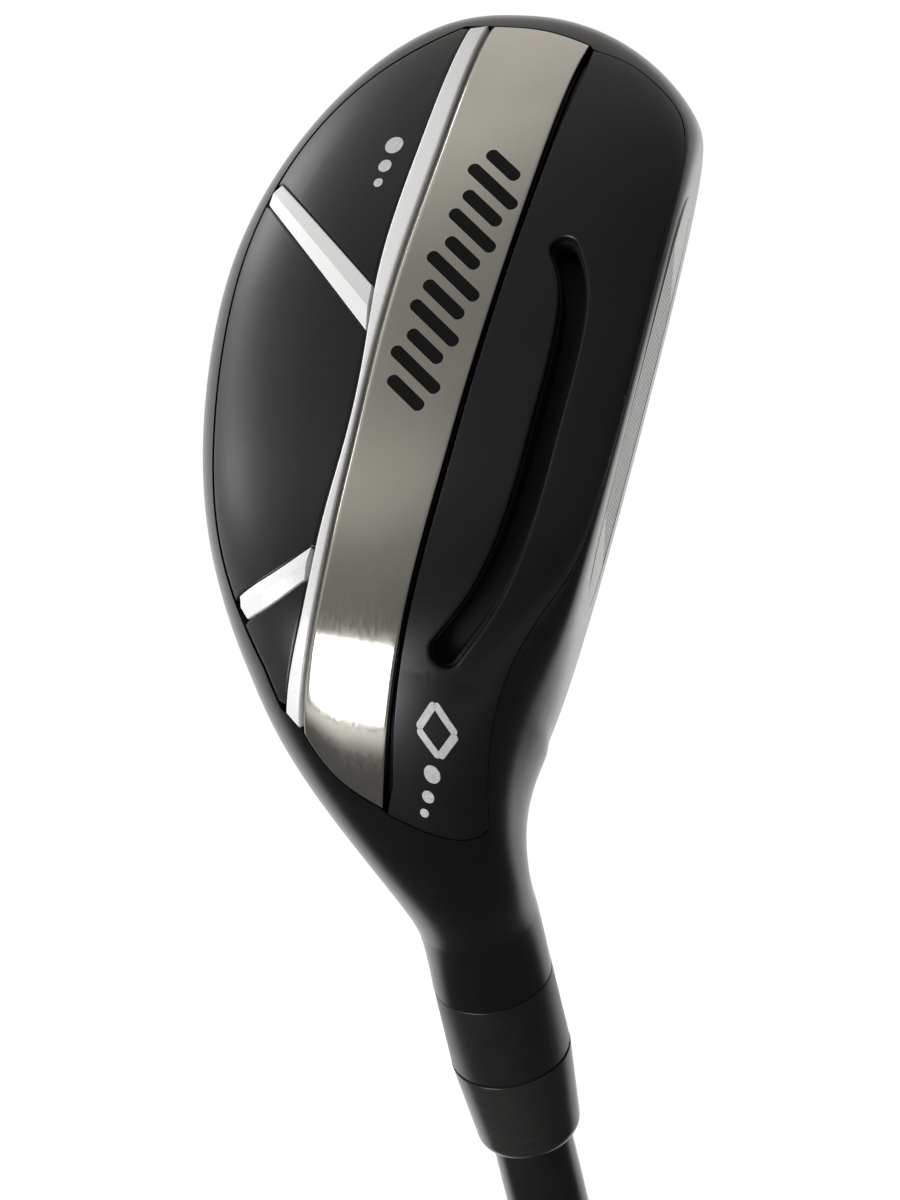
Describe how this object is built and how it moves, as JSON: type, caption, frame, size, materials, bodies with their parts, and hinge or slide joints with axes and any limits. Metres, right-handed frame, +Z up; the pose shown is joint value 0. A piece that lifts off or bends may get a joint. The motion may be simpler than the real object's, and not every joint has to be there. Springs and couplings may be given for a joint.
{
  "type": "hybrid golf club",
  "caption": "Right-handed hybrid golf club with a slotted, strip-banded sole, lofted face, bonded hosel collar and ferrule, tapered black shaft and rubber grip.",
  "frame": {"origin": "centre of the flat butt end of the grip, on the shaft axis", "axes": "+Z runs up the shaft from the grip to the head; the face looks towards -Y; the toe points to +X and up; the back of the head is towards +Y"},
  "size_m": [0.0942, 0.056, 1.0458],
  "materials": {
    "black_gloss": "gloss",
    "black_satin": "satin",
    "brushed_steel": "polished",
    "silver_paint": "satin",
    "face_steel": "blasted",
    "slot_polymer": "matte",
    "weight_alloy": "matte",
    "hot_melt": "matte",
    "plug_foam": "matte",
    "brass": "satin",
    "collar_black": "gloss",
    "ferrule_black": "gloss",
    "graphite_black": "gloss",
    "tape_paper": "matte",
    "grip_black": "matte",
    "cap_black": "matte"
  },
  "bodies": {
    "root": {"head_body": "black_gloss", "crown_plate": "black_gloss", "face_plate": "face_steel", "front_sole_plate": "black_satin", "sole_strip": "brushed_steel", "silver_spine": "silver_paint", "toe_spoke": "silver_paint", "heel_spoke": "silver_paint", "toe_panel": "black_satin", "middle_panel": "black_satin", "heel_panel": "black_satin", "slot_insert": "slot_polymer", "rear_weight_pad": "weight_alloy", "hot_melt_pad": "hot_melt", "hosel_plug": "plug_foam", "tip_weight_pin": "brass", "hosel_collar": "collar_black", "ferrule": "ferrule_black", "shaft": "graphite_black", "grip_tape": "tape_paper", "grip": "grip_black", "grip_cap": "cap_black"}
  },
  "joints": []
}
